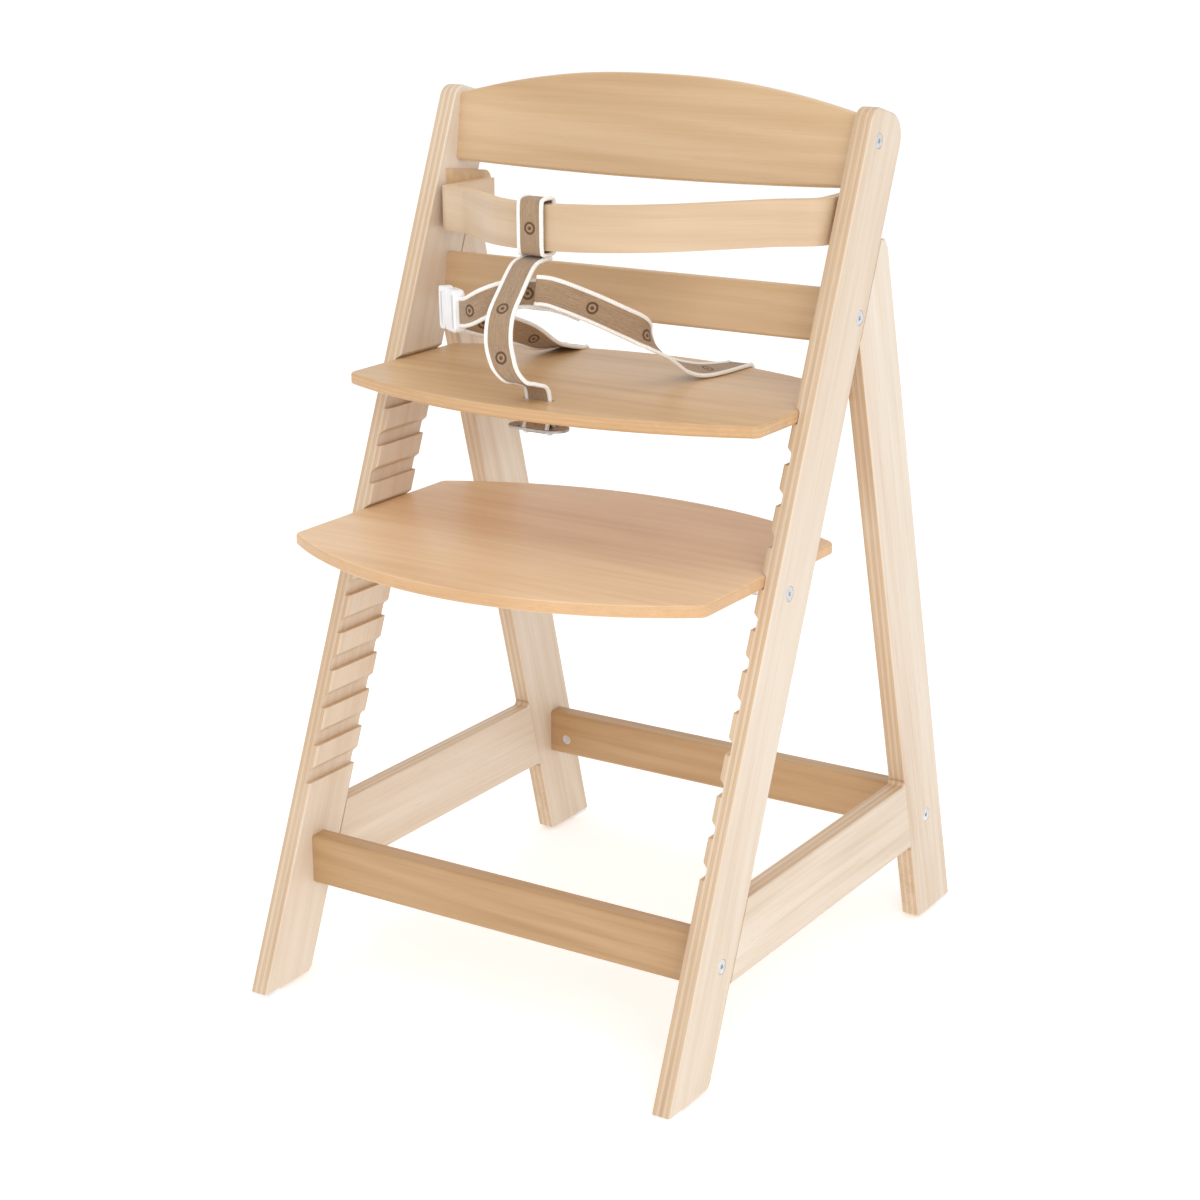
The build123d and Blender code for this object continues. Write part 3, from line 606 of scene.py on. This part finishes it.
def dress_frame():
    """Every CAD node that stays gets the material of its real piece."""
    dress(side_wood("post_wood", POST_LEAN), "left_post", "right_post")
    dress(side_wood("leg_wood", -LEG_LEAN, with_rail=True), "left_rear_frame", "right_rear_frame")
    lean = (SLAT_LEAN, 0, 0)
    for node, shift in (("backrest_upper", 0.0), ("backrest_lower", 1.3)):
        wood = panel_wood(node + "_wood", TAN, lean, "Y", slat_depth(node), SLAT_THICK, shift)
        dress(wood, node)
    level = (0, 0, 0)
    # the footboard gets the lightened tones, painted light against the seat board's shadow
    boards = (("seat_board", SEAT_TAN, SEAT_UNDER, 2.1), ("foot_board", FOOT_TAN_PAINTED_LIGHT, FOOT_UNDER, 3.4))
    for node, tones, under, shift in boards:
        wood = panel_wood(node + "_wood", tones, level, "Z", under, BOARD_THICK, shift, BOARD_EDGE)
        dress(wood, node)
    dress(bent_wood("guard_wood"), "guard_bar")
    dress(solid_wood("rail_wood", GOLDEN), "front_rail", "rear_rail")
    dress(solid_wood("pad_wood", TAN), "left_guard_pad", "right_guard_pad", "dowels")
    bright = zinc("zinc_plate", linear(229, 230, 232), 0.42)
    dress(bright, "backrest_bolts", "rail_bolts", "tie_rod_bolts", "backrest_nuts", "rail_nuts")
    dress(bright, "guard_screws", "belt_screws", "tie_rod")
    dress(zinc("plate_steel", linear(182, 178, 174), 0.34), "strap_anchor_plate")
    glides = ("front_left_glide", "front_right_glide", "rear_left_glide", "rear_right_glide")
    dress(moulded("glide_plastic", linear(242, 243, 245), linear(228, 229, 230), 0.45), *glides)
    white = moulded("buckle_plastic", linear(248, 248, 250), linear(236, 236, 238), 0.38)
    dress(white, "buckle_socket", "buckle_plug")


# ---------------------------------------------------------------- harness
SIDEWAYS = (1, 0, 0)
UPRIGHT = (0, 0, 1)
LAY = PIPING_RADIUS + 0.0001
LOOP_X = -0.030
GUARD_FRONT = -0.0815
GUARD_BACK = -0.0690
LOOP_TOP = 0.7200
LOOP_UNDER = 0.6765
SLOT_Y = -0.120
BELT_LEFT_X = -0.100
BELT_RIGHT_X = 0.076
LEFT_EDGE_Y = 0.0940
RIGHT_EDGE_Y = 0.0984


def crotch_loop():
    """The closed loop of the crotch strap round the guard bar."""
    front, back = GUARD_FRONT - LAY - 0.0016, GUARD_BACK + LAY + 0.0012
    corner = 0.003
    stations = [
        ((LOOP_X, front, LOOP_UNDER + corner), SIDEWAYS),
        ((LOOP_X, front - 0.0004, (LOOP_UNDER + LOOP_TOP) / 2), SIDEWAYS),
        ((LOOP_X, front, LOOP_TOP - corner), SIDEWAYS),
        ((LOOP_X, front + corner, LOOP_TOP + LAY), SIDEWAYS),
        ((LOOP_X, back - corner, LOOP_TOP + LAY), SIDEWAYS),
        ((LOOP_X, back, LOOP_TOP - corner), SIDEWAYS),
        ((LOOP_X, back + 0.0006, (LOOP_UNDER + LOOP_TOP) / 2), SIDEWAYS),
        ((LOOP_X, back, LOOP_UNDER + corner), SIDEWAYS),
        ((LOOP_X, back - corner, LOOP_UNDER - LAY), SIDEWAYS),
        ((LOOP_X, front + corner, LOOP_UNDER - LAY), SIDEWAYS),
    ]
    loop = webbing("crotch_loop", stations, marks=(0.018,), closed=True)
    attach(loop, "frame")
    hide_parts("crotch_strap_upper")


def crotch_strap():
    """The hanging length: from under the guard bar, forward, down through the seat, round the plate."""
    stations = [
        ((-0.0310, GUARD_BACK, LOOP_UNDER - 3 * LAY), SIDEWAYS),
        ((-0.0315, -0.0800, LOOP_UNDER - 3.2 * LAY), SIDEWAYS),
        ((-0.0310, -0.0960, 0.6660), SIDEWAYS),
        ((-0.0270, -0.1210, 0.6480), (1, 0.10, 0.05)),
        ((-0.0240, -0.1400, 0.6310), (1, 0.14, 0.08)),
        ((-0.0200, -0.1500, 0.6120), (1, 0.12, 0.08)),
        ((-0.0150, -0.1525, 0.5960), (1, 0.06, 0.05)),
        ((-0.0115, -0.1500, 0.5850), SIDEWAYS),
        ((-0.0080, -0.1425, 0.5765), SIDEWAYS),
        ((-0.0040, -0.1320, 0.5728), SIDEWAYS),
        ((-0.0008, -0.1235, 0.5685), SIDEWAYS),
        ((0.0, SLOT_Y - 0.0004, SEAT_TOP + 0.003), SIDEWAYS),
        ((0.0, SLOT_Y, SEAT_UNDER), SIDEWAYS),
        ((0.0, SLOT_Y + 0.0030, PLATE_HIGH.z + 0.0050), SIDEWAYS),
        ((0.0, SLOT_Y + 0.0052, (PLATE_LOW.z + PLATE_HIGH.z) / 2), SIDEWAYS),
        ((0.0, SLOT_Y + 0.0036, PLATE_LOW.z - 0.0026), SIDEWAYS),
        ((0.0, SLOT_Y - 0.0036, PLATE_LOW.z - 0.0026), SIDEWAYS),
        ((0.0, SLOT_Y - 0.0052, (PLATE_LOW.z + PLATE_HIGH.z) / 2), SIDEWAYS),
        ((0.0, SLOT_Y - 0.0035, PLATE_HIGH.z + 0.0045), SIDEWAYS),
    ]
    strap = webbing("crotch_strap", stations, marks=(0.078, 0.122))
    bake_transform(strap)
    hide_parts("crotch_strap_lower")


def over_rear_edge(x, edge, across):
    """A belt end that lies on the seat and folds round its rear edge to the screw below."""
    return [
        ((x, edge - 0.010, SEAT_TOP + LAY), across),
        ((x, edge - 0.001, SEAT_TOP + LAY - 0.0006), across),
        ((x, edge + 0.0022, SEAT_TOP - 0.003), across),
        ((x, edge + 0.0022, SEAT_UNDER + 0.003), across),
        ((x, edge - 0.001, SEAT_UNDER - LAY), across),
        ((x, 0.0780, SEAT_UNDER - LAY), across),
        ((x, 0.0500, SEAT_UNDER - LAY), across),
    ]


def waist_left():
    """The belt from the buckle's socket behind the crotch strap, ending behind the right belt."""
    stations = [
        ((-0.1060, -0.0893, 0.6190), UPRIGHT),
        ((-0.0980, -0.0950, 0.6196), UPRIGHT),
        ((-0.0850, -0.1010, 0.6230), (0.1, 0, 1)),
        ((-0.0650, -0.1020, 0.6330), (0.1, 0, 1)),
        ((-0.0420, -0.0960, 0.6410), UPRIGHT),
        ((-0.0220, -0.0890, 0.6420), UPRIGHT),
        ((-0.0020, -0.0790, 0.6380), (0.05, 0, 1)),
        ((0.0130, -0.0660, 0.6300), (0.12, 0, 1)),
    ]
    belt = webbing("waist_left", stations, marks=(0.026, 0.086))
    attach(belt, "seat")
    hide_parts("waist_belt_left")


def waist_right():
    """The belt from behind the crotch strap down to the seat, where it turns flat and folds over."""
    stations = [
        ((-0.0130, -0.1040, 0.6480), (0.45, 0.25, 1)),
        ((-0.0010, -0.0945, 0.6455), (0.35, 0.2, 1)),
        ((0.0200, -0.0680, 0.6310), (0.3, 0.2, 1)),
        ((0.0370, -0.0490, 0.6185), (0.35, 0.25, 1)),
        ((0.0490, -0.0320, 0.6075), (0.10, 0.50, 1)),
        ((0.0540, -0.0220, 0.5965), (-0.55, 0.60, 0.55)),
        ((0.0575, -0.0120, 0.5862), (-0.845, 0.49, 0.21)),
        ((0.0605, -0.0010, 0.5775), (-0.90, 0.38, 0.22)),
        ((0.0640, 0.0110, 0.5705), (-0.88, 0.30, 0.35)),
        ((0.0690, 0.0270, 0.5652), (-0.92, 0.12, 0.38)),
        ((0.0735, 0.0480, SEAT_TOP + LAY + 0.0030), (-0.97, 0, 0.22)),
    ]
    stations += over_rear_edge(BELT_RIGHT_X, RIGHT_EDGE_Y, (-1, 0, 0))
    belt = webbing("waist_right", stations, marks=(0.054, 0.112, 0.198))
    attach(belt, "seat")
    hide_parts("waist_belt_right", "right_belt_end")


def waist_back():
    """The belt from the buckle's plug back along the left of the seat and over its rear edge."""
    stations = [
        ((-0.1325, -0.0694, 0.6172), UPRIGHT),
        ((-0.1400, -0.0630, 0.6150), UPRIGHT),
        ((-0.1440, -0.0530, 0.6100), (0.05, 0, 1)),
        ((-0.1390, -0.0430, 0.6050), (0.1, 0, 1)),
        ((-0.1290, -0.0300, 0.5990), (0.1, 0, 1)),
        ((-0.1180, -0.0080, 0.5910), (0.15, 0, 1)),
        ((-0.1080, 0.0200, 0.5800), (0.5, 0.1, 0.8)),
        ((-0.1020, 0.0480, 0.5660), (0.95, 0.1, 0.3)),
    ]
    stations += over_rear_edge(BELT_LEFT_X, LEFT_EDGE_Y, SIDEWAYS)
    belt = webbing("waist_back", stations, marks=(0.060, 0.120))
    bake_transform(belt)
    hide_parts("waist_tail", "left_belt_end")


def sewing():
    """Bar tacks across the crotch strap under the guard bar."""
    below = LOOP_UNDER - 3 * LAY - WEB_HALF_THICK
    for row, y in enumerate((-0.0735, -0.0765)):
        start, end = (-0.0410, y, below), (-0.0215, y, below)
        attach(stitches(f"loop_tack_{row}", start, end, (0, 0, -1), 9), "frame")


# ---------------------------------------------------------------- stage, light and camera
def floor():
    """A pale studio floor, wide enough to fill the view."""
    reach = 45.0
    cells = 30
    vertices = []
    for row in range(cells + 1):
        for column in range(cells + 1):
            vertices.append((reach * (2 * column / cells - 1), reach * (2 * row / cells - 1), 0.0))
    faces = []
    for row in range(cells):
        for column in range(cells):
            a = row * (cells + 1) + column
            faces.append([a, a + 1, a + cells + 2, a + cells + 1])
    shade = Shade("floor_paint", roughness=0.9, specular=0.1)
    cloud = shade.noise(shade.place(shade.coordinates(), scale=(1.5, 1.5, 1.5)), 1.0, detail=2.0)
    color = shade.ramp(cloud, ((0.2, (0.95, 0.95, 0.95)), (0.8, (0.975, 0.975, 0.975))))
    shade.set(shade.shader, "Base Color", color)
    shade.set(shade.shader, "Emission Color", (1.0, 1.0, 1.0, 1.0))
    shade.set(shade.shader, "Emission Strength", 0.28)
    new_object("studio_floor", vertices, faces, [shade.material], smooth=False)


def softbox(name, place, target, size, power):
    """A rectangular studio light at place, facing target."""
    light = bpy.data.lights.new(name, "AREA")
    light.shape = "RECTANGLE"
    light.size, light.size_y = size
    light.energy = power
    made = bpy.data.objects.new(name, light)
    made.location = place
    made.rotation_euler = (Vector(target) - Vector(place)).to_track_quat("-Z", "Y").to_euler()
    bpy.context.collection.objects.link(made)


def studio_light():
    """White surroundings, a key light from the right front and two weak fills."""
    world = bpy.data.worlds.new("studio")
    world.use_nodes = True
    background = world.node_tree.nodes["Background"]
    background.inputs["Color"].default_value = (1.0, 1.0, 1.0, 1.0)
    background.inputs["Strength"].default_value = 0.80
    bpy.context.scene.world = world
    middle = (0.0, 0.0, 0.45)
    softbox("key", (2.4, -2.7, 2.1), middle, (2.2, 2.2), 46.0)
    softbox("front", (-0.8, -3.4, 1.4), middle, (2.4, 2.0), 4.0)
    softbox("top", (0.2, -0.2, 3.2), middle, (2.6, 2.6), 11.0)


def camera():
    """The camera that was fitted to the photo's view."""
    sideways = Vector((math.cos(CAMERA_AZIMUTH), math.sin(CAMERA_AZIMUTH), 0.0))
    level = Vector((-math.sin(CAMERA_AZIMUTH), math.cos(CAMERA_AZIMUTH), 0.0))
    forward = level * math.cos(CAMERA_ELEVATION) - Vector((0, 0, math.sin(CAMERA_ELEVATION)))
    upward = sideways.cross(forward)
    right = sideways * math.cos(CAMERA_ROLL) + upward * math.sin(CAMERA_ROLL)
    up = upward * math.cos(CAMERA_ROLL) - sideways * math.sin(CAMERA_ROLL)
    lens = bpy.data.cameras.new("camera")
    lens.lens = CAMERA_LENS
    lens.sensor_width = SENSOR
    lens.clip_end = 200.0
    made = bpy.data.objects.new("camera", lens)
    turn = Matrix((right, up, -forward)).transposed().to_4x4()
    made.matrix_world = Matrix.Translation(CAMERA_PLACE) @ turn
    bpy.context.collection.objects.link(made)
    bpy.context.scene.camera = made


WEBBING = taupe_webbing("taupe_webbing_weave")
PIPING = white_piping("white_piping")
THREAD = stitch_thread("stitch_thread")

dress_frame()
crotch_loop()
crotch_strap()
waist_left()
waist_right()
waist_back()
sewing()
floor()
studio_light()
camera()
bpy.context.scene.view_settings.view_transform = "Standard"
